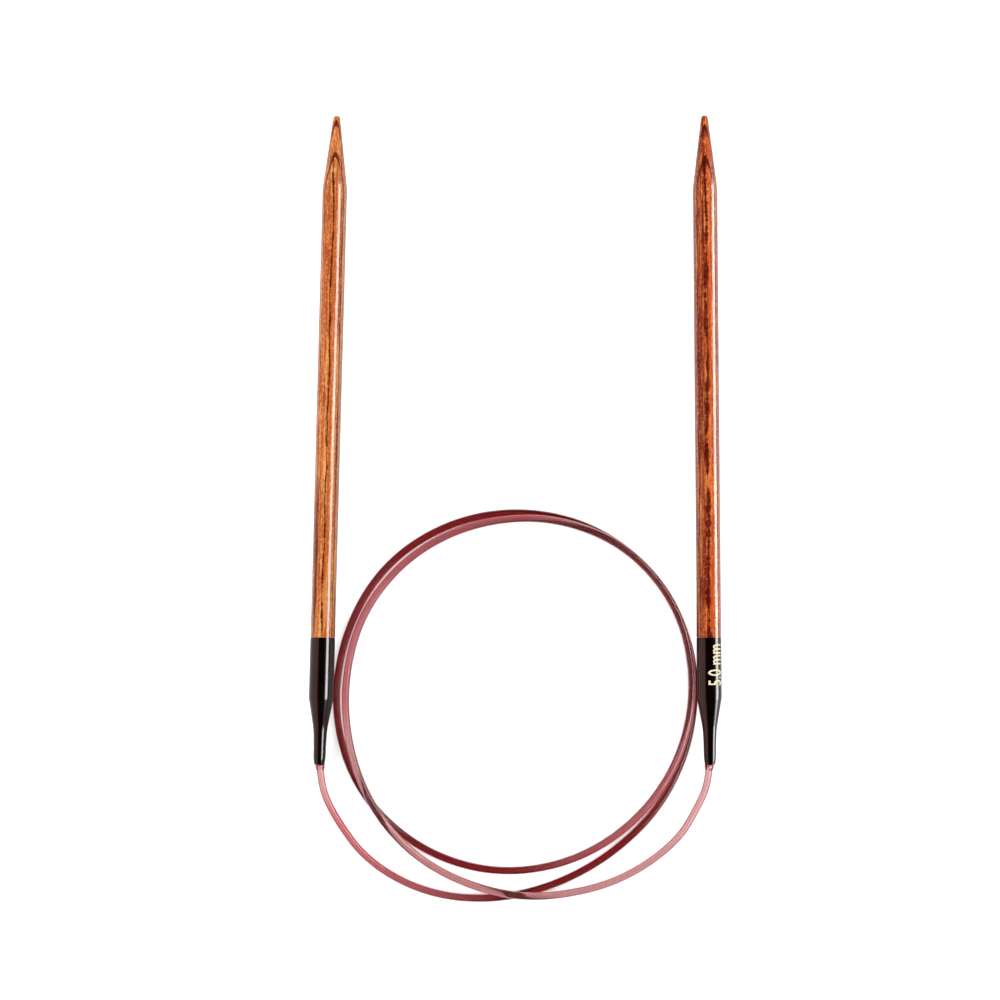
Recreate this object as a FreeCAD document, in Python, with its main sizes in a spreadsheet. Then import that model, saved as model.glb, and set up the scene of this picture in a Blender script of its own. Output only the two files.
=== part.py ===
"""Circular knitting needle, 5 mm: two laminated wooden tips, two metal ferrules, one nylon cable.

Frame: millimetres, +Z up, the needle lies flat on the plane Z = 0.  The origin is under the middle
of the two tips, which lie side by side with their points towards +Y.  Each tip is modelled along
the Y axis of its own body, from the ferrule's mouth at Y = 0 to the point, and its Placement lays
it down.
"""
import FreeCAD, Part
import math
import os
import Sketcher
from FreeCAD import Placement, Rotation, Vector

doc = FreeCAD.newDocument("circular_needle")

# ---------------------------------------------------------------- driving dimensions, millimetres
dims = doc.addObject("Spreadsheet::Sheet", "dims")
DIMENSIONS = [
    ("shaft_diameter", 5.0),        # the needle's size
    ("tip_length", 129.85),         # ferrule's mouth to the point
    ("point_length", 14.6),         # tapered part of the wood
    ("point_end_diameter", 1.3),    # blunt end of the taper
    ("point_end_round", 0.5),       # rounding of that end
    ("shoulder_softening", 0.5),    # narrow bevel each side of the taper's start
    ("ply_count", 6),               # veneers glued into one blank
    ("slab_margin", 1.0),           # how far the parting slabs reach past the blank
    ("tenon_diameter", 3.2),        # reduced wood inside the ferrule
    ("tenon_length", 9.0),
    ("ferrule_length", 25.5),
    ("front_ease_length", 0.6),     # slight bevel of the ferrule's edge at the wood
    ("front_ease_depth", 0.05),
    ("front_gap", 0.06),            # glue seam between the ferrule's edge and the wood
    ("socket_diameter", 3.3),       # bore that takes the tenon
    ("socket_depth", 10.0),
    ("cone_start", 13.3),           # height where the outside starts to narrow
    ("neck_top", 7.2),              # height where the cone meets the neck
    ("neck_top_diameter", 2.86),
    ("neck_top_round", 16.0),
    ("cone_start_round", 2.0),
    ("neck_diameter", 2.6),
    ("neck_middle", 4.6),
    ("lip_diameter", 2.44),
    ("lip_height", 1.3),            # solid lip below the crimp sleeve
    ("mouth_diameter", 2.12),
    ("mouth_round", 0.18),
    ("lip_bore", 1.64),             # the cable passes through here
    ("neck_bore", 2.0),             # the crimp sleeve sits here
    ("crimp_height", 3.35),         # height of the two crimp marks
    ("crimp_tool_radius", 1.1),
    ("crimp_depth", 0.09),
    ("cable_diameter", 1.5),
    ("cable_in_ferrule", 3.6),      # length of cable inside each ferrule
    ("sleeve_diameter", 1.9),       # crimp sleeve on the cable's end
    ("sleeve_length", 3.1),
    ("running_gap", 0.03),          # clearance on the cable and at the mouth
    ("collar_length", 1.1),         # flared collar outside the mouth
    ("collar_wide", 2.0),
    ("collar_narrow", 1.7),
    ("left_mouth_along", -39.14),   # where the ferrules' mouths lie
    ("right_mouth_along", 39.0),
    ("mouth_back", -64.9),
    ("left_tilt", -1.545),          # degrees about +Z, from the Y axis
    ("right_tilt", 0.499),
]
for row, (alias, value) in enumerate(DIMENSIONS, start=1):
    dims.set(f"A{row}", alias)
    dims.set(f"B{row}", str(value))
    dims.setAlias(f"B{row}", alias)
doc.recompute()

# The cable's route, millimetres: out of the left ferrule, down to the bottom of the ring, twice
# round it anticlockwise seen from above, and into the right ferrule.  The first turn lies on the
# table; the second climbs on top of it at the right, lies inside it at the top and the left,
# and crosses over it at the lower left and again at the bottom.
CABLE_ROUTE = [
    (-39.04, -61.30, 2.5), (-39.22, -67.90, 2.5),                     # left ferrule
    (-36.4, -75.0, 1.9), (-29.5, -84.5, 1.15), (-17.9, -90.8, 0.78),  # left lead
    (-5.0, -92.3, 0.75), (7.7, -89.5, 0.75), (19.7, -83.0, 0.75),     # first turn, on the table
    (29.9, -72.8, 0.75), (35.8, -58.7, 0.75), (36.1, -42.7, 0.75),
    (29.6, -28.2, 0.75), (17.4, -17.8, 0.75), (2.0, -13.8, 0.75),
    (-13.6, -16.4, 0.75), (-26.8, -25.3, 0.75), (-34.45, -39.1, 0.75),
    (-36.5, -54.9, 0.75), (-31.8, -70.3, 0.75), (-20.2, -81.7, 0.75),
    (-5.0, -87.0, 0.8), (10.7, -85.1, 1.1), (24.0, -77.0, 1.65),      # second turn climbs
    (33.0, -64.4, 2.3), (36.2, -49.1, 2.4), (33.0, -33.6, 2.4),
    (22.8, -21.3, 2.45), (8.2, -15.3, 2.35), (-7.2, -16.1, 1.85),
    (-20.9, -22.6, 1.6), (-30.6, -34.1, 1.65), (-34.3, -48.0, 2.0),
    (-33.4, -61.3, 2.5), (-29.0, -73.2, 2.5), (-20.9, -82.8, 2.4),    # over the first turn
    (-10.2, -88.9, 2.4), (2.3, -91.8, 2.45), (15.3, -90.1, 2.5),      # over the left lead
    (27.8, -84.6, 2.5), (36.0, -74.6, 2.5),                           # right lead
    (39.03, -67.90, 2.5), (38.97, -61.30, 2.5),                       # right ferrule
]
ARC_REACH = 0.45    # an arc starts this share of the shorter run from its corner

subparts = []


def number(alias):
    """The sheet's value of one dimension."""
    return float(dims.get(alias))


def new_body(label):
    body = doc.addObject("PartDesign::Body", label)
    body.Label = label
    return body


def plane_of(body, role):
    return next(part for part in body.Origin.OriginFeatures if part.Role == role)


def new_sketch(body, name):
    """A sketch on the body's XY plane, so its vertical axis is the tip's long axis."""
    sketch = body.newObject("Sketcher::SketchObject", name)
    sketch.AttachmentSupport = [(plane_of(body, "XY_Plane"), "")]
    sketch.MapMode = "FlatFace"
    return sketch


def pin_point(sketch, name, geometry, end, across, along):
    """Hold a sketch point at two sheet formulas, measured from the sketch's origin."""
    for axis, direction, formula in (("X", -2, across), ("Y", -1, along)):
        if formula == "0":
            sketch.addConstraint(Sketcher.Constraint("PointOnObject", geometry, end, direction))
            continue
        value = float(sketch.evalExpression(formula))
        rule = Sketcher.Constraint(f"Distance{axis}", -1, 1, geometry, end, value)
        index = sketch.addConstraint(rule)
        sketch.renameConstraint(index, f"{name}_{axis}")
        sketch.setExpression(f"Constraints.{name}_{axis}", formula)


def revolve(body, corners):
    """Turn a closed half section round the body's Y axis.

    A corner is a pair of sheet formulas, or three where it is rounded by a tangent arc."""
    sketch = new_sketch(body, f"{body.Label}_section")
    points = [Vector(float(sketch.evalExpression(corner[0])),
                     float(sketch.evalExpression(corner[1])), 0) for corner in corners]
    for start, stop in zip(points, points[1:] + points[:1]):
        sketch.addGeometry(Part.LineSegment(start, stop), False)
    count = len(corners)
    for line in range(count):
        following = (line + 1) % count
        sketch.addConstraint(Sketcher.Constraint("Coincident", line, 2, following, 1))
    for line, corner in enumerate(corners):
        pin_point(sketch, f"corner{line}", line, 1, corner[0], corner[1])
    for line, corner in enumerate(corners):
        if len(corner) == 3:
            size = float(sketch.evalExpression(corner[2]))
            sketch.fillet(line, 1, size, True, True)
            arc = max(index for index, item in enumerate(sketch.Geometry)
                      if isinstance(item, Part.ArcOfCircle))
            rule = sketch.addConstraint(Sketcher.Constraint("Radius", arc, size))
            sketch.renameConstraint(rule, f"corner{line}_round")
            sketch.setExpression(f"Constraints.corner{line}_round", corner[2])
    turned = body.newObject("PartDesign::Revolution", f"{body.Label}_turned")
    turned.Profile = sketch
    turned.ReferenceAxis = (sketch, ["V_Axis"])
    turned.Angle = 360
    doc.recompute()
    return turned


def lay_down(piece, side, along="0", roll=0.0):
    """Place a piece of a tip: its own Y axis goes along the tip, `along` from the mouth."""
    tilt = Rotation(Vector(0, 0, 1), number(f"{side}_tilt"))
    mouth = Vector(number(f"{side}_mouth_along"), number("mouth_back"),
                   number("shaft_diameter") / 2)
    shift = tilt.multVec(Vector(0, float(dims.evalExpression(along)), 0))
    turn = tilt.multiply(Rotation(Vector(0, 1, 0), roll))
    piece.Placement = Placement(mouth + shift, turn)


def keep(piece, label):
    piece.Label = label
    subparts.append(piece)


# ---------------------------------------------------------------- sub-parts of a tip
def make_blank(side):
    """The turned outline of the wooden tip, tenon included, before it is parted into plies."""
    body = new_body(f"{side}_blank")
    slope = "(dims.shaft_diameter - dims.point_end_diameter) / 2 / dims.point_length"
    revolve(body, [
        ("0", "dims.ferrule_length - dims.tenon_length"),
        ("dims.tenon_diameter / 2", "dims.ferrule_length - dims.tenon_length"),
        ("dims.tenon_diameter / 2", "dims.ferrule_length"),
        ("dims.shaft_diameter / 2", "dims.ferrule_length"),
        ("dims.shaft_diameter / 2",
         "dims.tip_length - dims.point_length - dims.shoulder_softening"),
        (f"dims.shaft_diameter / 2 - dims.shoulder_softening * {slope}",
         "dims.tip_length - dims.point_length + dims.shoulder_softening"),
        ("dims.point_end_diameter / 2", "dims.tip_length", "dims.point_end_round"),
        ("0", "dims.tip_length"),
    ])
    return body


def make_plies(side):
    """Part the blank into its veneers.

    The lower half of the stack is the upper half turned over.  The blank's own seam line faces
    up, so it runs through the apex of the curve that each glue face cuts in the taper."""
    blank = make_blank(side)
    blank.Placement = Placement(Vector(0, 0, 0), Rotation(Vector(0, 1, 0), -90))
    count = int(number("ply_count"))
    half = count // 2
    for layer in range(half):
        margin = "dims.slab_margin" if layer == half - 1 else "0"
        slab = doc.addObject("Part::Box", f"{side}_slab_{layer + 1}")
        slab.setExpression("Length", "dims.shaft_diameter + 2 * dims.slab_margin")
        slab.setExpression("Width", "dims.tip_length + 2 * dims.slab_margin")
        slab.setExpression("Height", f"dims.shaft_diameter / dims.ply_count + {margin}")
        slab.setExpression("Placement.Base.x", "-dims.shaft_diameter / 2 - dims.slab_margin")
        slab.setExpression("Placement.Base.y", "-dims.slab_margin")
        slab.setExpression("Placement.Base.z", f"dims.shaft_diameter * {layer} / dims.ply_count")
        for place, roll in ((half + layer + 1, 0), (half - layer, 180)):
            ply = doc.addObject("Part::Common", f"{side}_ply_{place}")
            ply.Base = blank
            ply.Tool = slab
            lay_down(ply, side, roll=roll)
            keep(ply, f"{side}_ply_{place}")


def make_ferrule(side, roll):
    """Swaged metal tube: socket for the tenon, cone, neck with two crimp marks, mouth lip."""
    body = new_body(f"{side}_ferrule")
    front = "dims.ferrule_length - dims.front_gap"
    revolve(body, [
        ("dims.lip_bore / 2", "0"),
        ("dims.mouth_diameter / 2", "0", "dims.mouth_round"),
        ("dims.lip_diameter / 2", "dims.lip_height"),
        ("dims.neck_diameter / 2", "dims.neck_middle"),
        ("dims.neck_top_diameter / 2", "dims.neck_top", "dims.neck_top_round"),
        ("dims.shaft_diameter / 2", "dims.cone_start", "dims.cone_start_round"),
        ("dims.shaft_diameter / 2", f"{front} - dims.front_ease_length"),
        ("dims.shaft_diameter / 2 - dims.front_ease_depth", front),
        ("dims.socket_diameter / 2", front),
        ("dims.socket_diameter / 2", "dims.ferrule_length - dims.socket_depth"),
        ("dims.neck_bore / 2", "dims.neck_top + 0.8"),
        ("dims.neck_bore / 2", "dims.lip_height"),
        ("dims.lip_bore / 2", "dims.lip_height"),
    ])

    marks = new_sketch(body, f"{side}_crimp_marks")
    neck = number("neck_diameter") / 2 - number("crimp_depth") + number("crimp_tool_radius")
    for index, (name, sign) in enumerate((("near", 1), ("far", -1))):
        centre = Vector(sign * neck, number("crimp_height"), 0)
        marks.addGeometry(Part.Circle(centre, Vector(0, 0, 1), number("crimp_tool_radius")), False)
        rule = marks.addConstraint(Sketcher.Constraint("Radius", index,
                                                       number("crimp_tool_radius")))
        marks.renameConstraint(rule, f"{name}_radius")
        marks.setExpression(f"Constraints.{name}_radius", "dims.crimp_tool_radius")
        offset = f"{sign} * (dims.neck_diameter / 2 - dims.crimp_depth + dims.crimp_tool_radius)"
        pin_point(marks, name, index, 3, offset, "dims.crimp_height")
    crimp = body.newObject("PartDesign::Pocket", f"{side}_crimp")
    crimp.Profile = marks
    crimp.Type = "ThroughAll"
    crimp.Midplane = True
    doc.recompute()
    lay_down(body, side, roll=roll)
    keep(body, f"{side}_ferrule")


def make_crimp_sleeve(side):
    """Closed metal sleeve on the cable's end; the ferrule's lip stops it from pulling out."""
    body = new_body(f"{side}_crimp_sleeve")
    pocket_end = "dims.cable_in_ferrule - dims.lip_height"
    revolve(body, [
        ("dims.cable_diameter / 2 + dims.running_gap", "0"),
        ("dims.sleeve_diameter / 2", "0"),
        ("dims.sleeve_diameter / 2", "dims.sleeve_length"),
        ("0", "dims.sleeve_length"),
        ("0", pocket_end),
        ("dims.cable_diameter / 2 + dims.running_gap", pocket_end),
    ])
    lay_down(body, side, "dims.lip_height + dims.running_gap")
    keep(body, f"{side}_crimp_sleeve")


def make_collar(side):
    """Flared nylon collar that softens the bend where the cable leaves the ferrule."""
    body = new_body(f"{side}_cable_collar")
    revolve(body, [
        ("dims.cable_diameter / 2 + dims.running_gap", "0"),
        ("dims.collar_narrow / 2", "0"),
        ("dims.collar_wide / 2", "dims.collar_length"),
        ("dims.cable_diameter / 2 + dims.running_gap", "dims.collar_length"),
    ])
    lay_down(body, side, "-dims.collar_length - dims.running_gap")
    keep(body, f"{side}_cable_collar")


# ---------------------------------------------------------------- the cable
def route_path(points):
    """Straight runs joined by tangent arcs, each arc as large as its two runs allow."""
    edges = []
    radii = []
    start = points[0]
    for before, corner, after in zip(points, points[1:], points[2:]):
        back = before - corner
        ahead = after - corner
        turn = math.pi - back.getAngle(ahead)
        reach = ARC_REACH * min(back.Length, ahead.Length)
        radius = reach / math.tan(turn / 2)
        back.normalize()
        ahead.normalize()
        arc_start = corner + back * reach
        arc_end = corner + ahead * reach
        bisector = (back + ahead).normalize()
        arc_middle = corner + bisector * radius * (1 / math.cos(turn / 2) - 1)
        edges.append(Part.LineSegment(start, arc_start).toShape())
        edges.append(Part.Arc(arc_start, arc_middle, arc_end).toShape())
        radii.append(radius)
        start = arc_end
    edges.append(Part.LineSegment(start, points[-1]).toShape())
    return Part.Wire(edges), radii


def make_cable():
    """Round nylon cable, swept along its whole route."""
    points = [Vector(*point) for point in CABLE_ROUTE]
    wire, radii = route_path(points)
    path = doc.addObject("Part::Feature", "cable_path")
    path.Shape = wire
    section = doc.addObject("Part::Circle", "cable_section")
    section.setExpression("Radius", "dims.cable_diameter / 2")
    section.Placement = Placement(points[0], Rotation(Vector(0, 0, 1), points[1] - points[0]))
    cable = doc.addObject("Part::Sweep", "cable")
    cable.Sections = [section]
    cable.Spine = (path, [f"Edge{index + 1}" for index in range(len(wire.Edges))])
    cable.Solid = True
    cable.Frenet = False
    doc.recompute()
    keep(cable, "cable")

    area = math.pi * number("cable_diameter") ** 2 / 4
    print("cable radii:", ", ".join(f"{radius:.1f}" for radius in radii))
    print(f"cable length {wire.Length:.1f} mm, volume {cable.Shape.Volume:.1f} mm3, "
          f"section times length {area * wire.Length:.1f} mm3")


# ---------------------------------------------------------------- assembly
# The crimp marks of the left ferrule are at its sides, those of the right one above and below.
for side_name, ferrule_roll in (("left", 0.0), ("right", 90.0)):
    make_plies(side_name)
    make_ferrule(side_name, ferrule_roll)
    make_crimp_sleeve(side_name)
    make_collar(side_name)
make_cable()
doc.recompute()

for item in doc.Objects:
    faults = [state for state in item.State if state in ("Invalid", "Error")]
    if faults:
        raise RuntimeError(f"{item.Name} failed: {faults}")

os.makedirs("parts", exist_ok=True)
for piece in subparts:
    if piece.Shape.isNull() or not piece.Shape.isValid() or len(piece.Shape.Solids) != 1:
        raise RuntimeError(f"{piece.Label} is not one valid solid")
    piece.Shape.exportStep(f"parts/{piece.Label}.step")
    print(f"{piece.Label}: {piece.Shape.Volume:.2f} mm3")
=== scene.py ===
"""Looks of the circular knitting needle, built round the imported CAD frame.

Metres in the CAD's frame: +Z up, the needle lies on Z = 0 with both points towards +Y.  The pieces
of a tip are built in the tip's own frame, with Y along the tip from the ferrule's mouth, and the
dimensions in that frame are written in millimetres.
"""
import math

import bmesh
import bpy
from mathutils import Matrix, Vector


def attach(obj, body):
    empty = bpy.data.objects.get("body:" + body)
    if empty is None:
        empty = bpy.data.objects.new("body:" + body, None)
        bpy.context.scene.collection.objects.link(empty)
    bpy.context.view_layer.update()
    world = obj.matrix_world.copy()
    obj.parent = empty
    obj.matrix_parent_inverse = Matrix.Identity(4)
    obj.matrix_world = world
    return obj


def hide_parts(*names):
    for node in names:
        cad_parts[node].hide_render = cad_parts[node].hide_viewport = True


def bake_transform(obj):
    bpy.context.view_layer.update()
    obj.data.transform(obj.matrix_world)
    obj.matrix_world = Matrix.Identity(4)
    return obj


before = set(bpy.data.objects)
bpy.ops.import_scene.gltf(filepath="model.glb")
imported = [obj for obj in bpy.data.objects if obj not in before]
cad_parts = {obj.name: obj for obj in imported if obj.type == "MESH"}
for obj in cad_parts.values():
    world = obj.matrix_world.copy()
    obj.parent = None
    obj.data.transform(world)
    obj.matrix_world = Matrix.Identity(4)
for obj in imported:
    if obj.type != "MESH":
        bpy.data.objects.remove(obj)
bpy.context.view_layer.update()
scene = bpy.context.scene
MM = 0.001

# ---------------------------------------------------------------- dimensions, millimetres
SHAFT_RADIUS = 2.5
TIP_LENGTH = 129.85
POINT_LENGTH = 14.6
POINT_END_RADIUS = 0.65
POINT_END_ROUND = 0.7
FERRULE_LENGTH = 25.5
TENON_RADIUS = 1.6
TENON_LENGTH = 9.0
PLY_COUNT = 6
PLY = 2 * SHAFT_RADIUS / PLY_COUNT
CABLE_RADIUS = 0.75
# the middle of each ferrule's mouth, and the tip's turn about +Z in degrees
TIPS = {"left": ((-39.14, -64.9, 2.5), -1.545), "right": ((39.0, -64.9, 2.5), 0.499)}

# ---------------------------------------------------------------- camera
CAMERA_AIM = Vector((-0.003, -0.012, 0.0025))
VIEW_WIDTH = 0.2
LENS = 120.0
SENSOR = 36.0
camera_data = bpy.data.cameras.new("camera")
camera_data.lens = LENS
camera_data.sensor_width = SENSOR
camera_data.clip_start = 0.01
camera = bpy.data.objects.new("camera", camera_data)
scene.collection.objects.link(camera)
camera.location = CAMERA_AIM + Vector((0, 0, VIEW_WIDTH * LENS / SENSOR))
scene.camera = camera


# ---------------------------------------------------------------- mesh helpers
def new_object(name, data):
    obj = bpy.data.objects.new(name, data)
    scene.collection.objects.link(obj)
    return obj


def tip_matrix(side):
    """From a tip's own frame to the CAD's frame."""
    mouth, tilt = TIPS[side]
    return Matrix.Translation(Vector(mouth) * MM) @ Matrix.Rotation(math.radians(tilt), 4, "Z")


def mesh_object(name, vertices, faces, sharp_angle=None):
    mesh = bpy.data.meshes.new(name)
    mesh.from_pydata(vertices, [], faces)
    mesh.validate()
    mesh.shade_smooth()
    if sharp_angle is not None:
        mesh.set_sharp_from_angle(angle=math.radians(sharp_angle))
    return new_object(name, mesh)


def tube(name, path, radii, sides, bore=0.0):
    """A round tube along a path, closed at its ends; a bore above nought runs right through it."""
    tangents = []
    for index in range(len(path)):
        ahead = path[min(index + 1, len(path) - 1)] - path[max(index - 1, 0)]
        tangents.append(ahead.normalized())
    normal = tangents[0].orthogonal().normalized()
    shells = [[], []]
    for index, (centre, tangent) in enumerate(zip(path, tangents)):
        if index:
            normal = tangents[index - 1].rotation_difference(tangent) @ normal
            normal = (normal - normal.dot(tangent) * tangent).normalized()
        binormal = tangent.cross(normal)
        for shell, radius in zip(shells, (radii[index], bore)):
            for step in range(sides):
                angle = 2 * math.pi * step / sides
                spoke = math.cos(angle) * normal + math.sin(angle) * binormal
                shell.append(centre + radius * spoke)
    count = len(path)
    faces = []

    def quads(offset, inward):
        for ring in range(count - 1):
            for step in range(sides):
                a = offset + ring * sides + step
                b = offset + ring * sides + (step + 1) % sides
                face = (a, b, b + sides, a + sides)
                faces.append(face[::-1] if inward else face)

    quads(0, False)
    last = (count - 1) * sides
    if bore > 0:
        quads(count * sides, True)
        inner = count * sides
        for step in range(sides):
            following = (step + 1) % sides
            faces.append((step, inner + step, inner + following, following))
            faces.append((last + following, inner + last + following, inner + last + step,
                          last + step))
        vertices = shells[0] + shells[1]
    else:
        faces.append(tuple(range(sides))[::-1])
        faces.append(tuple(last + step for step in range(sides)))
        vertices = shells[0]
    return mesh_object(name, vertices, faces, 50)


# ---------------------------------------------------------------- the cable
CABLE_ROUTE = [
    (-39.04, -61.30, 2.5), (-39.22, -67.90, 2.5),                     # left ferrule
    (-36.4, -75.0, 2.2), (-29.5, -84.5, 1.95), (-17.9, -90.8, 1.6),  # left lead
    (-5.0, -92.3, 0.85), (7.7, -89.5, 0.75), (19.7, -83.0, 0.75),     # first turn, on the table
    (29.9, -72.8, 0.75), (35.8, -58.7, 0.75), (36.1, -42.7, 0.75),
    (29.6, -28.2, 0.75), (17.4, -17.8, 0.75), (2.0, -13.8, 0.75),
    (-13.6, -16.4, 0.75), (-26.8, -25.3, 0.75), (-34.45, -39.1, 0.75),
    (-36.5, -54.9, 0.75), (-31.8, -70.3, 0.75), (-20.2, -81.7, 0.75),
    (-5.0, -87.0, 0.8), (10.7, -85.1, 1.1), (24.0, -77.0, 1.65),      # second turn climbs
    (33.0, -64.4, 2.3), (36.2, -49.1, 2.4), (33.0, -33.6, 2.4),
    (22.8, -21.3, 2.45), (8.2, -15.3, 2.35), (-7.2, -16.1, 1.85),
    (-20.9, -22.6, 1.6), (-30.6, -34.1, 1.65), (-34.3, -48.0, 2.0),
    (-33.4, -61.3, 2.5), (-29.0, -73.2, 2.5), (-20.9, -82.8, 2.4),    # over the first turn
    (-10.2, -88.9, 2.4), (2.3, -91.8, 2.45), (15.6, -90.0, 2.5),      # over the left lead
    (24.9, -86.0, 2.5), (32.6, -80.0, 2.5), (36.2, -74.1, 2.5),       # right lead
    (39.03, -67.90, 2.5), (38.97, -61.30, 2.5),                       # right ferrule
]
CABLE_SIDES = 28
# (distance from the ferrule's mouth, radius)
COLLAR_SECTIONS = [(0.04, 0.93), (0.10, 1.0), (0.30, 0.985), (0.60, 0.93), (0.90, 0.855),
                   (1.10, 0.80)]
COLLAR_SIDES = 48
COLLAR_GAP = 0.01

line_data = bpy.data.curves.new("cable_line", "CURVE")
line_data.dimensions = "3D"
line_data.resolution_u = 14
spline = line_data.splines.new("NURBS")
spline.points.add(len(CABLE_ROUTE) - 1)
for control, place in zip(spline.points, CABLE_ROUTE):
    control.co = (*(Vector(place) * MM), 1.0)
spline.use_endpoint_u = True
spline.order_u = 3
line_object = new_object("cable_line", line_data)
bpy.context.view_layer.update()
line_mesh = bpy.data.meshes.new_from_object(line_object)
cable_path = [vertex.co.copy() for vertex in line_mesh.vertices]
bpy.data.objects.remove(line_object)
bpy.data.meshes.remove(line_mesh)

cable = tube("cable_tube", cable_path, [CABLE_RADIUS * MM] * len(cable_path), CABLE_SIDES)
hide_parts("cable")


def flared_collar(side):
    """The cable's flared end, moulded on just outside the ferrule's mouth."""
    mouth = Vector(TIPS[side][0]) * MM
    path = cable_path if side == "left" else cable_path[::-1]
    index = next(index for index, point in enumerate(path) if point.y < mouth.y)
    before, after = path[index - 1], path[index]
    here = before.lerp(after, (before.y - mouth.y) / (before.y - after.y))
    along = 0.0
    places = []
    for distance, _ in COLLAR_SECTIONS:
        while along + (path[index] - here).length < distance * MM:
            along += (path[index] - here).length
            here = path[index]
            index += 1
        here = here + (path[index] - here).normalized() * (distance * MM - along)
        along = distance * MM
        places.append(here.copy())
    radii = [radius * MM for _, radius in COLLAR_SECTIONS]
    collar = tube(f"{side}_collar_flare", places, radii, COLLAR_SIDES,
                  bore=(CABLE_RADIUS + COLLAR_GAP) * MM)
    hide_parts(f"{side}_cable_collar")
    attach(collar, f"cable_{side}")
    return collar


collars = [flared_collar(side) for side in TIPS]


# ---------------------------------------------------------------- the wooden plies
SHOULDER_SOFT = 0.9         # the shaft eases into the taper over this distance on each side
SHAFT_STEPS = 24
TAPER_STEPS = 30
ROUND_STEPS = 8
ARC_STEPS = 14
APEX_STEPS = 7


def wood_profile():
    """Stations of the turned tip as (along, radius, lean of the surface's normal)."""
    slope = (SHAFT_RADIUS - POINT_END_RADIUS) / POINT_LENGTH
    shoulder = TIP_LENGTH - POINT_LENGTH
    soft = SHOULDER_SOFT
    lean = math.atan(slope)
    norm = math.sqrt(1 + slope * slope)
    round_centre = POINT_END_RADIUS + slope * POINT_END_ROUND - POINT_END_ROUND * norm
    round_along = TIP_LENGTH - POINT_END_ROUND
    stations = [(FERRULE_LENGTH, SHAFT_RADIUS, 0.0)]
    for step in range(1, SHAFT_STEPS + 1):
        along = FERRULE_LENGTH + (shoulder - soft - FERRULE_LENGTH) * step / SHAFT_STEPS
        stations.append((along, SHAFT_RADIUS, 0.0))
    for step in range(1, ROUND_STEPS + 1):
        offset = -soft + 2 * soft * step / ROUND_STEPS
        radius = SHAFT_RADIUS - slope * (offset + soft) ** 2 / (4 * soft)
        stations.append((shoulder + offset, radius, lean * (offset + soft) / (2 * soft)))
    first = stations[-1][1]
    last = round_centre + POINT_END_ROUND * math.cos(lean)
    radii = {last}
    for step in range(1, TAPER_STEPS):
        radii.add(first + (last - first) * step / TAPER_STEPS)
    # stations lie close together where a glue plane runs out in a V
    for level in range(1, PLY_COUNT // 2):
        for reach in range(APEX_STEPS):
            radii.add(level * PLY + 0.004 * reach * reach)
    for radius in sorted(radii, reverse=True):
        if radius < first:
            stations.append((TIP_LENGTH - (radius - POINT_END_RADIUS) / slope, radius, lean))
    for step in range(1, ROUND_STEPS + 1):
        angle = lean + (math.pi / 2 - lean) * step / ROUND_STEPS
        stations.append((round_along + POINT_END_ROUND * math.sin(angle),
                         round_centre + POINT_END_ROUND * math.cos(angle), angle))
    stations.append((TIP_LENGTH, 0.0, math.pi / 2))
    return stations


STATIONS = wood_profile()
TENON_STATIONS = [(FERRULE_LENGTH - TENON_LENGTH, TENON_RADIUS, 0.0),
                  (FERRULE_LENGTH, TENON_RADIUS, 0.0)]
SAME_PLACE = 1e-8


def ply_rings(low, high, stations):
    """Cross-sections of the ply between two heights above the tip's middle plane."""
    rings = []
    for along, radius, lean in stations:
        if radius < low - 1e-9:
            continue
        top = min(high, radius)
        start = math.asin(min(1.0, low / radius)) if radius > 0 else 0.0
        stop = math.asin(min(1.0, top / radius)) if radius > 0 else 0.0
        ring = []
        for side in (1, -1):
            steps = range(ARC_STEPS + 1) if side == 1 else range(ARC_STEPS, -1, -1)
            for step in steps:
                angle = start + (stop - start) * step / ARC_STEPS
                radial = Vector((side * math.cos(angle), 0, math.sin(angle)))
                normal = radial * math.cos(lean) + Vector((0, math.sin(lean), 0))
                ring.append((radius * radial + Vector((0, along, 0)), normal))
        rings.append(ring)
    return rings


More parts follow.
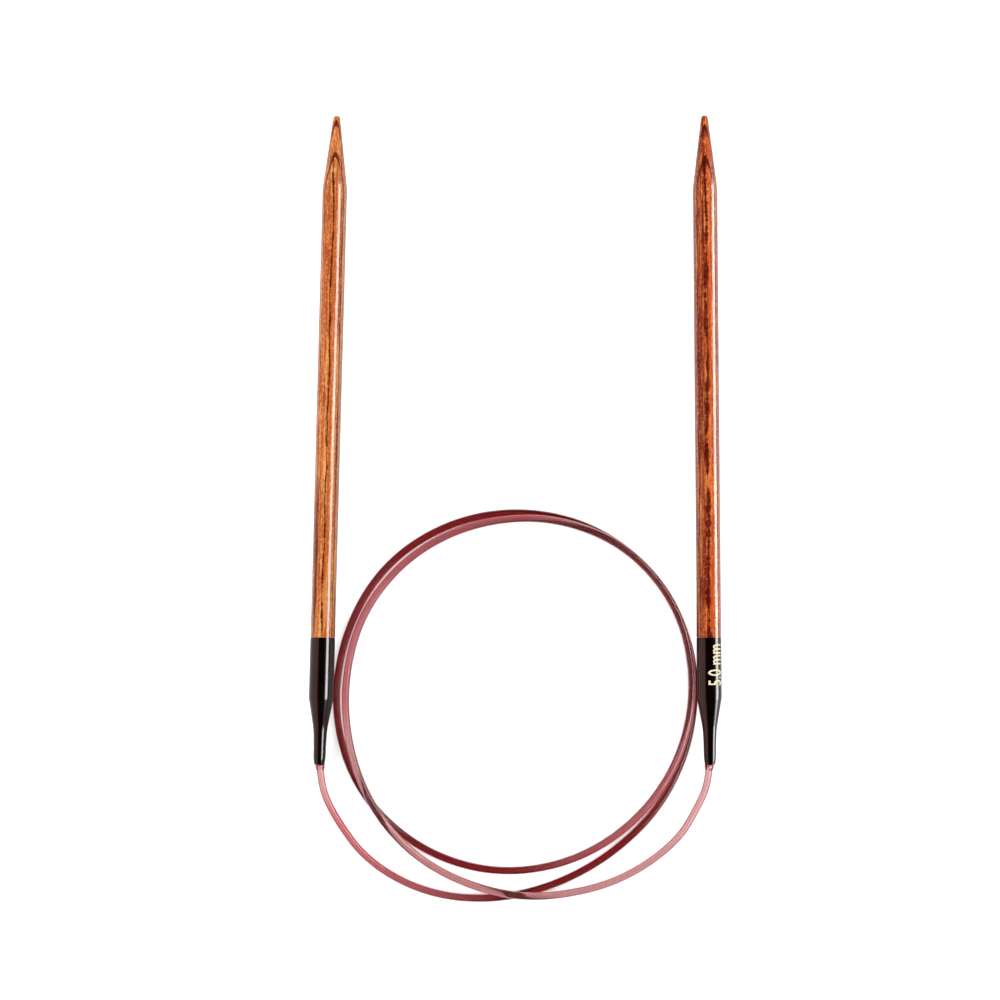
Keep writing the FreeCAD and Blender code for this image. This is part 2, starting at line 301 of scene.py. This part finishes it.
def make_ply(side, number):
    """One veneer of a tip, its outer face shaded with the turned surface's own normals."""
    below = PLY_COUNT // 2
    level, flip = (number - below - 1, 1) if number > below else (below - number, -1)
    low, high = level * PLY, (level + 1) * PLY
    tenon_rings = len(TENON_STATIONS) if low < TENON_RADIUS else 0
    work = bmesh.new()
    loops = []
    for ring in ply_rings(low, high, TENON_STATIONS + STATIONS):
        row = []
        for place, normal in ring:
            place = Vector((place.x, place.y, place.z * flip)) * MM
            row.append((work.verts.new(place), Vector((normal.x, normal.y, normal.z * flip))))
        loops.append(row)
    size = len(loops[0])
    turned_faces = work.faces.layers.int.new("turned")
    normals = work.loops.layers.float_vector.new("wanted")

    def face(corners, turned):
        vertices = []
        wanted = []
        for vertex, normal in corners:
            if all((vertex.co - other.co).length > SAME_PLACE for other in vertices):
                vertices.append(vertex)
                wanted.append(normal)
        if len(vertices) < 3:
            return
        if flip < 0:
            vertices.reverse()
            wanted.reverse()
        made = work.faces.new(vertices)
        made[turned_faces] = turned
        for loop, normal in zip(made.loops, wanted):
            loop[normals] = normal

    for index in range(len(loops) - 1):
        here, there = loops[index], loops[index + 1]
        tenon_step = tenon_rings > 0 and index == tenon_rings - 1
        for corner in range(size):
            following = (corner + 1) % size
            glued = corner in (size // 2 - 1, size - 1)
            face((here[corner], there[corner], there[following], here[following]),
                 not tenon_step and not glued)
    face(loops[0], False)
    face(loops[-1][::-1], False)
    bmesh.ops.remove_doubles(work, verts=work.verts, dist=SAME_PLACE)
    mesh = bpy.data.meshes.new(f"{side}_veneer_{number}")
    work.normal_update()
    custom = []
    for item in work.faces:
        item.smooth = True
        for loop in item.loops:
            wanted = Vector(loop[normals])
            use_wanted = item[turned_faces] and wanted.length > 0.5
            custom.append(wanted if use_wanted else item.normal.copy())
    work.to_mesh(mesh)
    work.free()
    mesh.normals_split_custom_set([tuple(normal) for normal in custom])
    for layer in ("turned", "wanted"):
        mesh.attributes.remove(mesh.attributes[layer])
    ply = new_object(f"{side}_veneer_{number}", mesh)
    ply.matrix_world = tip_matrix(side)
    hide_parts(f"{side}_ply_{number}")
    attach(ply, f"{side}_tip")
    return ply


plies = {side: [make_ply(side, number) for number in range(1, PLY_COUNT + 1)] for side in TIPS}


# ---------------------------------------------------------------- the ferrules
# corners of the half section: (radius, distance from the mouth, rounding)
FERRULE_PROFILE = [
    (1.06, 0.0, 0.18), (1.22, 1.3, 3.0), (1.3, 4.6, 6.0), (1.43, 7.2, 16.0), (2.5, 13.3, 2.0),
    (2.5, 24.84, 0.3), (2.45, 25.44, 0.0), (1.65, 25.44, 0.0), (1.65, 15.5, 0.0), (1.0, 8.0, 0.0),
    (1.0, 1.3, 0.0), (0.82, 1.3, 0.0), (0.82, 0.0, 0.0),
]
CRIMP_HEIGHT = 3.35
CRIMP_TOOL_RADIUS = 1.1
CRIMP_FLOOR = 1.21          # from the axis to the bottom of a mark
CRIMP_SPAN = (2.0, 4.8)     # the profile is finely divided here
BORE_LIMIT = 1.15           # the marks are pressed into the outside, beyond this radius
FINE_STEP = 0.07
COARSE_STEP = 1.2
FERRULE_SIDES = 96
ARC_PIECES = 8


def rounded_profile(corners):
    """The corners of a closed half section with each rounded one turned into a short arc."""
    points = []
    count = len(corners)
    for index, (x, y, size) in enumerate(corners):
        corner = Vector((x, y))
        before = Vector(corners[index - 1][:2]) - corner
        after = Vector(corners[(index + 1) % count][:2]) - corner
        if size == 0:
            points.append(corner)
            continue
        turn = math.pi - before.angle(after)
        reach = min(size * math.tan(turn / 2), 0.45 * min(before.length, after.length))
        start = corner + before.normalized() * reach
        end = corner + after.normalized() * reach
        for step in range(ARC_PIECES + 1):
            share = step / ARC_PIECES
            points.append(start.lerp(corner, share).lerp(corner.lerp(end, share), share))
    return points


def make_ferrule(side, roll):
    """The swaged tube with its crimp marks, turned from its half section."""
    section = []
    corners = rounded_profile(FERRULE_PROFILE)
    for here, there in zip(corners, corners[1:] + corners[:1]):
        marked = (min(here.x, there.x) > BORE_LIMIT and max(here.y, there.y) > CRIMP_SPAN[0]
                  and min(here.y, there.y) < CRIMP_SPAN[1])
        pieces = max(1, math.ceil((there - here).length / (FINE_STEP if marked else COARSE_STEP)))
        section += [here.lerp(there, step / pieces) for step in range(pieces)]
    vertices = []
    for point in section:
        limit = math.inf
        offset = point.y - CRIMP_HEIGHT
        if abs(offset) < CRIMP_TOOL_RADIUS and point.x > BORE_LIMIT:
            depth = math.sqrt(CRIMP_TOOL_RADIUS ** 2 - offset ** 2)
            limit = CRIMP_FLOOR + CRIMP_TOOL_RADIUS - depth
        for step in range(FERRULE_SIDES):
            angle = 2 * math.pi * step / FERRULE_SIDES
            x = max(-limit, min(limit, point.x * math.cos(angle)))
            vertices.append(Vector((x, point.y, point.x * math.sin(angle))) * MM)
    faces = []
    for ring in range(len(section)):
        here = ring * FERRULE_SIDES
        there = (ring + 1) % len(section) * FERRULE_SIDES
        for step in range(FERRULE_SIDES):
            following = (step + 1) % FERRULE_SIDES
            faces.append((here + step, there + step, there + following, here + following))
    ferrule = mesh_object(f"{side}_ferrule_tube", vertices, faces, 30)
    ferrule.data.transform(Matrix.Rotation(math.radians(roll), 4, "Y"))
    ferrule.matrix_world = tip_matrix(side)
    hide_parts(f"{side}_ferrule")
    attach(ferrule, f"{side}_tip")
    return ferrule


ferrules = [make_ferrule("left", 0.0), make_ferrule("right", 90.0)]

# ---------------------------------------------------------------- the size mark
MARK_START = 15.9           # along the tip
MARK_LENGTH = 8.2
MARK_HEIGHT = 3.05          # round the ferrule
MARK_FOOT = 62.0            # degrees from the top down the right side, where the figures stand
MARK_LIFT = 0.004
MARK_THICKNESS = 0.012
MARK_BOLD = 0.004           # of the letters' height
MARK_CUTS = 12


def make_size_mark():
    """The size printed round the right ferrule, a thin layer of paint."""
    text_data = bpy.data.curves.new("size_mark_text", "FONT")
    text_data.body = "5.0 mm"
    text_data.offset = MARK_BOLD
    text_data.resolution_u = 6
    text = new_object("size_mark_text", text_data)
    bpy.context.view_layer.update()
    flat = bpy.data.meshes.new_from_object(text)
    bpy.data.objects.remove(text)
    work = bmesh.new()
    work.from_mesh(flat)
    bpy.data.meshes.remove(flat)
    low = Vector((min(v.co.x for v in work.verts), min(v.co.y for v in work.verts)))
    high = Vector((max(v.co.x for v in work.verts), max(v.co.y for v in work.verts)))
    bmesh.ops.remove_doubles(work, verts=work.verts, dist=1e-5)
    for cut in range(1, MARK_CUTS):
        level = low.y + (high.y - low.y) * cut / MARK_CUTS
        bmesh.ops.bisect_plane(work, geom=work.verts[:] + work.edges[:] + work.faces[:],
                               plane_co=(0, level, 0), plane_no=(0, 1, 0))
    bmesh.ops.triangulate(work, faces=work.faces)
    grown = bmesh.ops.extrude_face_region(work, geom=work.faces[:])
    raised = {item for item in grown["geom"] if isinstance(item, bmesh.types.BMVert)}
    for vertex in work.verts:
        share_x = (vertex.co.x - low.x) / (high.x - low.x)
        share_y = (vertex.co.y - low.y) / (high.y - low.y)
        radius = SHAFT_RADIUS + MARK_LIFT + (MARK_THICKNESS if vertex in raised else 0.0)
        angle = math.radians(MARK_FOOT) - share_y * MARK_HEIGHT / SHAFT_RADIUS
        vertex.co = Vector((radius * math.sin(angle), MARK_START + share_x * MARK_LENGTH,
                            radius * math.cos(angle))) * MM
    bmesh.ops.recalc_face_normals(work, faces=work.faces)
    # the extruded faces come in no set order, so they are given one
    work.verts.index_update()
    faces = []
    for face in work.faces:
        corners = [vertex.index for vertex in face.verts]
        start = corners.index(min(corners))
        faces.append(corners[start:] + corners[:start])
    mesh = bpy.data.meshes.new("size_mark")
    mesh.from_pydata([vertex.co for vertex in work.verts], [], sorted(faces))
    work.free()
    mark = new_object("size_mark", mesh)
    mark.matrix_world = tip_matrix("right")
    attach(mark, "right_tip")
    return mark


size_mark = make_size_mark()


# ---------------------------------------------------------------- material helpers
def srgb(red, green, blue):
    """A colour given as screen values of 0 to 255, in linear light."""
    def linear(value):
        value /= 255
        return value / 12.92 if value <= 0.04045 else ((value + 0.055) / 1.055) ** 2.4
    return (linear(red), linear(green), linear(blue), 1.0)


class Nodes:
    """Short calls for building one material's node tree."""

    def __init__(self, name):
        self.material = bpy.data.materials.new(name)
        self.material.use_nodes = True
        self.tree = self.material.node_tree
        self.shader = self.tree.nodes["Principled BSDF"]
        self.output = self.tree.nodes["Material Output"]

    def add(self, kind, **values):
        node = self.tree.nodes.new(kind)
        for name, value in values.items():
            setattr(node, name, value)
        return node

    def plug(self, socket, value):
        if isinstance(value, bpy.types.NodeSocket):
            self.tree.links.new(value, socket)
        elif value is not None:
            socket.default_value = value

    def math(self, operation, first, second=None, third=None):
        node = self.add("ShaderNodeMath", operation=operation)
        for socket, value in zip(node.inputs, (first, second, third)):
            self.plug(socket, value)
        return node.outputs[0]

    def scaled(self, vector, scale, shift=(0, 0, 0)):
        node = self.add("ShaderNodeMapping", vector_type="POINT")
        self.plug(node.inputs["Vector"], vector)
        node.inputs["Scale"].default_value = scale
        node.inputs["Location"].default_value = shift
        return node.outputs[0]

    def millimetres(self):
        """The piece's own coordinates in millimetres."""
        return self.scaled(self.add("ShaderNodeTexCoord").outputs["Object"], (1 / MM,) * 3)

    def noise(self, place, scale, detail, roughness, shift=(0, 0, 0), distortion=0.0):
        """Noise with that many features per unit along X, Y and Z."""
        node = self.add("ShaderNodeTexNoise")
        self.plug(node.inputs["Vector"], self.scaled(place, scale, shift))
        node.inputs["Scale"].default_value = 1.0
        node.inputs["Detail"].default_value = detail
        node.inputs["Roughness"].default_value = roughness
        node.inputs["Distortion"].default_value = distortion
        return node.outputs["Fac"]

    def ramp(self, value, stops):
        """A colour or a grey for each place between 0 and 1."""
        node = self.add("ShaderNodeValToRGB")
        self.plug(node.inputs["Fac"], value)
        elements = node.color_ramp.elements
        while len(elements) < len(stops):
            elements.new(0.5)
        for element, (place, colour) in zip(elements, stops):
            element.position = place
            element.color = colour if isinstance(colour, tuple) else (colour,) * 3 + (1.0,)
        return node.outputs["Color"]

    def smooth(self, value, low, high, out_low=0.0, out_high=1.0):
        """A soft step from out_low at low to out_high at high."""
        node = self.add("ShaderNodeMapRange", interpolation_type="SMOOTHSTEP")
        for name, item in (("Value", value), ("From Min", low), ("From Max", high),
                           ("To Min", out_low), ("To Max", out_high)):
            self.plug(node.inputs[name], item)
        return node.outputs["Result"]

    def mix(self, factor, first, second):
        """The first colour where factor is 0 and the second where it's 1."""
        node = self.add("ShaderNodeMix", data_type="RGBA")
        for socket, value in zip((node.inputs["Factor"], *node.inputs[6:8]),
                                 (factor, first, second)):
            self.plug(socket, value)
        return node.outputs[2]

    def times(self, *values):
        """The product of two or more values."""
        product = values[0]
        for value in values[1:]:
            product = self.math("MULTIPLY", product, value)
        return product

    def swing(self, noise, amount, value):
        """A value moved to and fro by noise that averages a half."""
        return self.math("MULTIPLY_ADD", self.math("SUBTRACT", noise, 0.5), amount, value)

    def bump(self, height, strength, distance):
        node = self.add("ShaderNodeBump")
        node.inputs["Strength"].default_value = strength
        node.inputs["Distance"].default_value = distance
        self.plug(node.inputs["Height"], height)
        return node.outputs["Normal"]

    def set(self, **values):
        for name, value in values.items():
            self.plug(self.shader.inputs[name.replace("_", " ")], value)


# ---------------------------------------------------------------- varnished laminated wood
OUTER_PLANE = 2 * PLY       # height of the topmost glue plane
BAND_FADE = 6.0             # a band comes and goes over this distance


def wood_material(name, look):
    """Dyed veneers glued flat, turned and varnished.

    A look's "bands" are its stained bands: (x, half width, start, stop, strength, colour)."""
    nodes = Nodes(name)
    place = nodes.millimetres()
    parts = nodes.add("ShaderNodeSeparateXYZ")
    nodes.plug(parts.inputs[0], place)
    x, y, z = parts.outputs
    seed = look["seed"]

    # long fibres, and broad bands of dye
    fibre = nodes.noise(place, (1.3, 0.035, 1.3), 4, 0.65, (seed, 0, 0), 0.2)
    colour = nodes.ramp(fibre, [(0.40, look["deep"]), (0.47, look["mid"]), (0.53, look["light"]),
                                (0.60, look["pale"])])
    hair = nodes.noise(place, (3.0, 0.13, 3.0), 3, 0.65, (0, seed, 0))
    colour = nodes.mix(nodes.smooth(hair, 0.41, 0.50, 0.95, 0.0), colour, look["streak"])
    colour = nodes.mix(nodes.smooth(hair, 0.53, 0.62, 0.0, 0.55), colour, look["pale"])

    # each veneer has its own depth of dye
    sheet = nodes.math("FLOOR", nodes.math("DIVIDE", z, PLY))
    tone = nodes.add("ShaderNodeTexWhiteNoise", noise_dimensions="1D")
    nodes.plug(tone.inputs["W"], nodes.math("ADD", sheet, seed))
    colour = nodes.mix(nodes.times(tone.outputs["Value"], look["ply_tone"]), colour,
                       look["ply_tint"])

    # cut cells sparkle, light beside dark
    cells = nodes.noise(place, (3.2, 1.7, 3.2), 2, 0.6, (1, seed, 1))
    colour = nodes.mix(nodes.smooth(cells, 0.32, 0.47, 0.6, 0.0), colour, look["deep"])
    colour = nodes.mix(nodes.smooth(cells, 0.53, 0.68, 0.0, 0.6), colour, look["pale"])

    # growth figure: surfaces nearly parallel to the veneers, cut at a shallow angle by the turning
    drift = nodes.noise(place, (0.30, 0.045, 0.30), 3, 0.5, (0, 0, seed))
    ripple = nodes.noise(place, (1.1, 0.22, 1.1), 3, 0.6, (seed, seed, 0))
    depth = nodes.swing(drift, look["drift"], z)
    depth = nodes.swing(ripple, look["ripple"], depth)
    depth = nodes.math("MULTIPLY_ADD", x, look["lean"], depth)
    cycle = nodes.math("FRACT", nodes.math("DIVIDE", depth, look["ring"]))
    ring = nodes.ramp(cycle, [(0.0, 1.0), (look["ring_width"], 0.55), (0.5, 0.0), (0.93, 0.0),
                              (1.0, 1.0)])
    breaks = nodes.noise(place, (1.6, 0.30, 1.6), 3, 0.6, (0, seed, seed))
    ring = nodes.times(ring, nodes.smooth(breaks, 0.36, 0.60, 0.25, 1.0), look["ring_strength"])
    colour = nodes.mix(ring, colour, look["figure"])

    # stained bands along the shaft
    for side_x, half, start, stop, strength, tint in look["bands"]:
        bend = nodes.noise(place, (0, 0.06, 0), 3, 0.6, (seed, side_x, 0))
        off = nodes.math("ABSOLUTE", nodes.math("SUBTRACT", x, nodes.swing(bend, 0.7, side_x)))
        band = nodes.times(nodes.smooth(off, half * 0.35, half * 1.3, 1.0, 0.0),
                           nodes.smooth(y, start - BAND_FADE, start + BAND_FADE),
                           nodes.smooth(y, stop - BAND_FADE, stop + BAND_FADE, 1.0, 0.0),
                           nodes.smooth(z, 0.2, 0.8),
                           nodes.smooth(hair, 0.30, 0.60, 1.0, 0.6), strength)
        colour = nodes.mix(band, colour, tint)

    # one dark vein wanders along the top of the shaft
    wander = nodes.noise(place, (0, 0.07, 0), 3, 0.6, (seed, 0, 0))
    centre = nodes.swing(wander, look["vein_swing"], look["vein_x"])
    away = nodes.math("ABSOLUTE", nodes.math("SUBTRACT", x, centre))
    width = nodes.noise(place, (0, 0.22, 0), 4, 0.7, (0, 0, seed))
    width = nodes.smooth(width, 0.38, 0.64, look["vein_thin"], look["vein_thick"])
    vein = nodes.times(nodes.smooth(nodes.math("DIVIDE", away, width), 0.25, 1.0, 1.0, 0.0),
                       nodes.smooth(z, OUTER_PLANE - 0.02, OUTER_PLANE + 0.05),
                       nodes.smooth(cells, 0.45, 0.70, 1.0, 0.75), look["vein_strength"])
    colour = nodes.mix(vein, colour, look["vein"])

    # glue lines between the veneers
    wave = nodes.noise(place, (0.8, 0.12, 0.8), 3, 0.6)
    glued = nodes.math("SUBTRACT", nodes.swing(wave, 0.10, z), look["glue_lift"])
    glued = nodes.math("DIVIDE", glued, PLY)
    nearest = nodes.math("ABSOLUTE", nodes.math("SUBTRACT", glued, nodes.math("ROUND", glued)))
    nearest = nodes.times(nearest, PLY)
    blot = nodes.noise(place, (1.5, 0.25, 1.5), 3, 0.65, (3, 5, 7))
    thickness = nodes.smooth(blot, 0.35, 0.70, look["glue"] * 0.5, look["glue"] * 1.6)
    glue = nodes.smooth(nodes.math("DIVIDE", nearest, thickness), 0.45, 1.0, 1.0, 0.0)
    inside = nodes.smooth(nodes.math("ABSOLUTE", z), OUTER_PLANE + 0.3, OUTER_PLANE + 0.4,
                          1.0, 0.0)
    glue = nodes.times(glue, inside, look["glue_strength"])
    colour = nodes.mix(glue, colour, look["glue_colour"])

    # pores: short dark dashes along the fibre
    pores = nodes.noise(place, (6.5, 0.9, 6.5), 3, 0.6, (seed, 2, 1))
    pore = nodes.smooth(pores, 0.58, 0.68)
    colour = nodes.mix(nodes.times(pore, 0.55), colour, look["pore"])

    # painted shade: the wood is coloured darker and deeper towards its outline, where it's seen
    # aslant, standing in for the shaded floor that its edges reflect
    aslant = nodes.add("ShaderNodeLayerWeight").outputs["Facing"]
    colour = nodes.mix(nodes.smooth(aslant, 0.30, 0.75, 0.0, 0.6), colour, look["rim"])

    # fibres and pores show in the wood, and a little of them in the varnish over it
    height = nodes.math("SUBTRACT", nodes.times(hair, 0.5), pore)
    under = nodes.bump(height, 0.35, 0.00004)
    flow = nodes.noise(place, (0.9, 0.35, 0.9), 2, 0.5)
    sunk = nodes.math("MULTIPLY_ADD", pores, 0.05, flow)
    over = nodes.bump(sunk, 0.25, 0.00006)
    nodes.set(Base_Color=colour, Roughness=nodes.smooth(fibre, 0.3, 0.7, 0.52, 0.38), Normal=under,
              Specular_IOR_Level=0.06, IOR=1.45)
    nodes.set(Coat_Weight=1.0, Coat_Roughness=0.09, Coat_IOR=1.35, Coat_Normal=over)
    return nodes.material


LEFT_WOOD = {
    "seed": 4.0,
    "deep": srgb(164, 62, 14), "mid": srgb(204, 108, 42), "light": srgb(222, 138, 66),
    "pale": srgb(240, 176, 106), "streak": srgb(158, 58, 16), "ply_tint": srgb(178, 92, 46),
    "ply_tone": 0.35, "figure": srgb(150, 56, 14), "drift": 0.9, "ripple": 0.22, "lean": 0.05,
    "ring": 0.36, "ring_width": 0.16, "ring_strength": 0.5, "vein": srgb(64, 12, 0),
    "vein_x": -0.12, "vein_swing": 1.5, "vein_thin": 0.10, "vein_thick": 0.40,
    "vein_strength": 1.0,
    "bands": [(-1.72, 0.44, 26.0, 56.0, 1.0, srgb(74, 28, 24)),
              (-0.95, 0.09, -20.0, 150.0, 0.6, srgb(132, 50, 20)),
              (1.32, 0.12, -20.0, 150.0, 0.75, srgb(90, 34, 20)),
              (0.30, 0.35, -20.0, 150.0, 0.45, srgb(206, 96, 20))],
    "glue": 0.11, "glue_lift": 0.0, "glue_strength": 0.95, "glue_colour": srgb(78, 22, 6),
    # the rim colour is painted shade towards the outline
    "pore": srgb(110, 34, 10), "rim": srgb(128, 58, 34),
}
RIGHT_WOOD = {
    "seed": 9.0,
    "deep": srgb(126, 22, 2), "mid": srgb(182, 72, 28), "light": srgb(214, 106, 46),
    "pale": srgb(236, 150, 84), "streak": srgb(118, 20, 2), "ply_tint": srgb(156, 62, 36),
    "ply_tone": 0.4, "figure": srgb(92, 14, 2), "drift": 2.2, "ripple": 0.6, "lean": 0.10,
    "ring": 0.50, "ring_width": 0.26, "ring_strength": 0.8, "vein": srgb(78, 4, 0),
    "vein_x": -0.08, "vein_swing": 1.6, "vein_thin": 0.08, "vein_thick": 0.95,
    "vein_strength": 1.0,
    "bands": [(-0.95, 0.35, 30.0, 110.0, 0.6, srgb(100, 34, 24)),
              (-1.45, 0.10, -20.0, 150.0, 0.7, srgb(92, 30, 24)),
              (-0.50, 0.12, 60.0, 150.0, 0.7, srgb(84, 14, 6)),
              (0.65, 0.50, -20.0, 150.0, 0.55, srgb(216, 92, 18))],
    "glue": 0.11, "glue_lift": 0.13, "glue_strength": 0.95, "glue_colour": srgb(70, 12, 4),
    # the rim colour is painted shade towards the outline
    "pore": srgb(84, 14, 4), "rim": srgb(104, 36, 24),
}
for tip_side, tip_look in (("left", LEFT_WOOD), ("right", RIGHT_WOOD)):
    material = wood_material(f"{tip_side}_varnished_wood", tip_look)
    for ply in plies[tip_side]:
        ply.data.materials.append(material)


# ---------------------------------------------------------------- lacquered metal
def lacquer_material():
    nodes = Nodes("ferrule_lacquer")
    place = nodes.millimetres()
    cloud = nodes.noise(place, (0.5, 0.3, 0.5), 4, 0.6)
    grain = nodes.noise(place, (9, 9, 9), 3, 0.7)
    colour = nodes.ramp(cloud, [(0.3, srgb(9, 3, 2)), (0.7, srgb(18, 7, 4))])
    speck = nodes.smooth(nodes.noise(place, (3.1, 3.1, 3.1), 2, 0.4), 0.77, 0.80)
    colour = nodes.mix(speck, colour, srgb(120, 100, 88))
    height = nodes.math("MULTIPLY_ADD", grain, 0.4, cloud)
    nodes.set(Base_Color=colour, Roughness=nodes.smooth(grain, 0.3, 0.7, 0.12, 0.20),
              Normal=nodes.bump(height, 0.12, 0.00003), Specular_IOR_Level=0.22)
    return nodes.material


lacquer = lacquer_material()
for ferrule in ferrules:
    ferrule.data.materials.append(lacquer)


def paint_material():
    nodes = Nodes("size_mark_paint")
    place = nodes.millimetres()
    patch = nodes.noise(place, (3, 3, 3), 4, 0.65)
    colour = nodes.ramp(patch, [(0.35, srgb(226, 204, 150)), (0.65, srgb(246, 236, 205))])
    nodes.set(Base_Color=colour, Roughness=nodes.smooth(patch, 0.3, 0.7, 0.35, 0.5),
              Normal=nodes.bump(patch, 0.1, 0.00002), Specular_IOR_Level=0.4)
    return nodes.material


size_mark.data.materials.append(paint_material())


def steel_material():
    nodes = Nodes("crimp_sleeve_steel")
    place = nodes.millimetres()
    turned = nodes.noise(place, (3, 30, 3), 4, 0.6)
    colour = nodes.ramp(turned, [(0.3, srgb(168, 168, 170)), (0.7, srgb(196, 196, 197))])
    nodes.set(Base_Color=colour, Roughness=nodes.smooth(turned, 0.3, 0.7, 0.28, 0.42),
              Normal=nodes.bump(turned, 0.1, 0.00002), Metallic=1.0)
    return nodes.material


steel = steel_material()
for tip_side in TIPS:
    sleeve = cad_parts[f"{tip_side}_crimp_sleeve"]
    sleeve.data.materials.clear()
    sleeve.data.materials.append(steel)


# ---------------------------------------------------------------- translucent nylon
NYLON_TINT = (0.59, 0.29, 0.29, 1.0)
NYLON_DEPTH = 1080.0        # per metre of nylon that the light passes


def nylon_material():
    nodes = Nodes("cable_nylon")
    place = nodes.millimetres()
    ripple = nodes.noise(place, (1.2, 1.2, 1.2), 3, 0.5)
    colour = nodes.ramp(ripple, [(0.3, srgb(250, 238, 236)), (0.7, srgb(255, 248, 247))])
    # painted shade: strands that lie on the table are given a deeper tint than those lifted off
    # it, standing in for the shadow they cast on the table right under themselves
    parts = nodes.add("ShaderNodeSeparateXYZ")
    nodes.plug(parts.inputs[0], place)
    colour = nodes.mix(nodes.smooth(parts.outputs["Z"], 1.9, 1.4), colour, srgb(228, 116, 126))
    # and every strand gets painted shade: a darker outline where it's seen aslant, standing in for
    # the darker surroundings that its edges refract
    aslant = nodes.add("ShaderNodeLayerWeight").outputs["Facing"]
    colour = nodes.mix(nodes.smooth(aslant, 0.06, 0.38), colour, srgb(184, 88, 98))
    nodes.set(Base_Color=colour, Roughness=nodes.smooth(ripple, 0.3, 0.7, 0.04, 0.09),
              Normal=nodes.bump(ripple, 0.08, 0.00004), Transmission_Weight=1.0, IOR=1.53)
    absorb = nodes.add("ShaderNodeVolumeAbsorption")
    absorb.inputs["Color"].default_value = NYLON_TINT
    absorb.inputs["Density"].default_value = NYLON_DEPTH
    nodes.tree.links.new(absorb.outputs[0], nodes.output.inputs["Volume"])
    return nodes.material


nylon = nylon_material()
for piece in [cable, *collars]:
    piece.data.materials.append(nylon)

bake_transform(cable)


# ---------------------------------------------------------------- floor and light
FLOOR_HALF = 1.5
FLOOR_DROP = 0.00002        # keeps the floor clear of the pieces that lie on it


def floor_material():
    nodes = Nodes("floor_paper")
    tooth = nodes.noise(nodes.millimetres(), (0.9, 0.9, 0.9), 4, 0.6)
    nodes.set(Base_Color=nodes.ramp(tooth, [(0.3, 0.86), (0.7, 0.88)]), Roughness=0.9,
              Specular_IOR_Level=0.1)
    return nodes.material


floor_mesh = bpy.data.meshes.new("floor")
floor_corners = [(x * FLOOR_HALF, y * FLOOR_HALF, 0)
                 for x, y in ((-1, -1), (1, -1), (1, 1), (-1, 1))]
floor_mesh.from_pydata(floor_corners, [], [(0, 1, 2, 3)])
floor = new_object("floor", floor_mesh)
floor.location = (0, 0, -FLOOR_DROP)
floor.data.materials.append(floor_material())


AIM_Y = -0.01


def area_light(name, angle, distance, across, along, radiance, lit, x=0.0, sheen=True, fills=True,
               colour=(1.0, 1.0, 1.0), blockers=None):
    """A soft rectangular panel for the lit pieces only, with its second side along +Y.

    It stands at that angle in degrees from straight up towards +X, and is aimed at x. Without
    sheen it isn't seen reflected, and without fills it's only seen reflected. If blockers are
    given, only they cast a shadow."""
    aim = Vector((x, AIM_Y, 0))
    back = Vector((math.sin(math.radians(angle)), 0, math.cos(math.radians(angle))))
    data = bpy.data.lights.new(name, "AREA")
    data.shape = "RECTANGLE"
    data.size, data.size_y = across, along
    data.energy = radiance * math.pi * across * along
    data.color = colour
    light = new_object(name, data)
    side = Vector((0, 1, 0)).cross(back)
    turn = Matrix((side, Vector((0, 1, 0)), back)).transposed().to_4x4()
    light.matrix_world = Matrix.Translation(aim + distance * back) @ turn
    light.visible_glossy = sheen
    light.visible_diffuse = fills
    group = bpy.data.collections.new(f"{name}_lit")
    for piece in lit:
        group.objects.link(piece)
    light.light_linking.receiver_collection = group
    if blockers:
        shade = bpy.data.collections.new(f"{name}_shade")
        for piece in blockers:
            shade.objects.link(piece)
        light.light_linking.blocker_collection = shade


WARM = (1.0, 0.52, 0.42)
WORLD_LIGHT = 0.05
low_pieces = [floor, cable, *collars]
area_light("left_wood_strip", 50, 0.40, 0.17, 0.36, 21.0, plies["left"], x=-0.035, fills=False)
area_light("right_wood_strip", 74, 0.40, 0.20, 0.36, 23.0, plies["right"], x=0.039, fills=False)
area_light("left_ferrule_strip", 50, 0.40, 0.15, 0.36, 38.0, [ferrules[0]], x=-0.035, fills=False)
area_light("right_ferrule_strip", 74, 0.40, 0.18, 0.36, 34.0, [ferrules[1]], x=0.039, fills=False)
area_light("left_warm_card", -66, 0.70, 0.80, 1.00, 3.0, ferrules, colour=WARM)
area_light("right_warm_card", 96, 0.70, 0.50, 1.00, 3.0, ferrules, colour=WARM)
area_light("left_wood_key", -8, 0.60, 0.60, 0.90, 3.7, plies["left"], sheen=False)
area_light("right_wood_key", 14, 0.60, 0.60, 0.90, 3.9, plies["right"] + [size_mark], sheen=False)
area_light("left_card", -62, 0.70, 0.75, 1.00, 0.4, plies["left"] + plies["right"])
area_light("right_panel", 48, 0.60, 0.35, 0.90, 5.2, low_pieces, blockers=low_pieces)
area_light("left_panel", -48, 0.60, 0.35, 0.90, 5.2, low_pieces, sheen=False, blockers=low_pieces)
area_light("top_panel", 0, 0.70, 0.50, 0.50, 4.2, low_pieces, sheen=False, blockers=low_pieces)

world = bpy.data.worlds.new("studio")
scene.world = world
world.use_nodes = True
background = world.node_tree.nodes["Background"]
background.inputs["Color"].default_value = (1.0, 1.0, 1.0, 1.0)
background.inputs["Strength"].default_value = WORLD_LIGHT

scene.view_settings.view_transform = "Standard"
scene.view_settings.look = "None"
scene.view_settings.exposure = 0.0
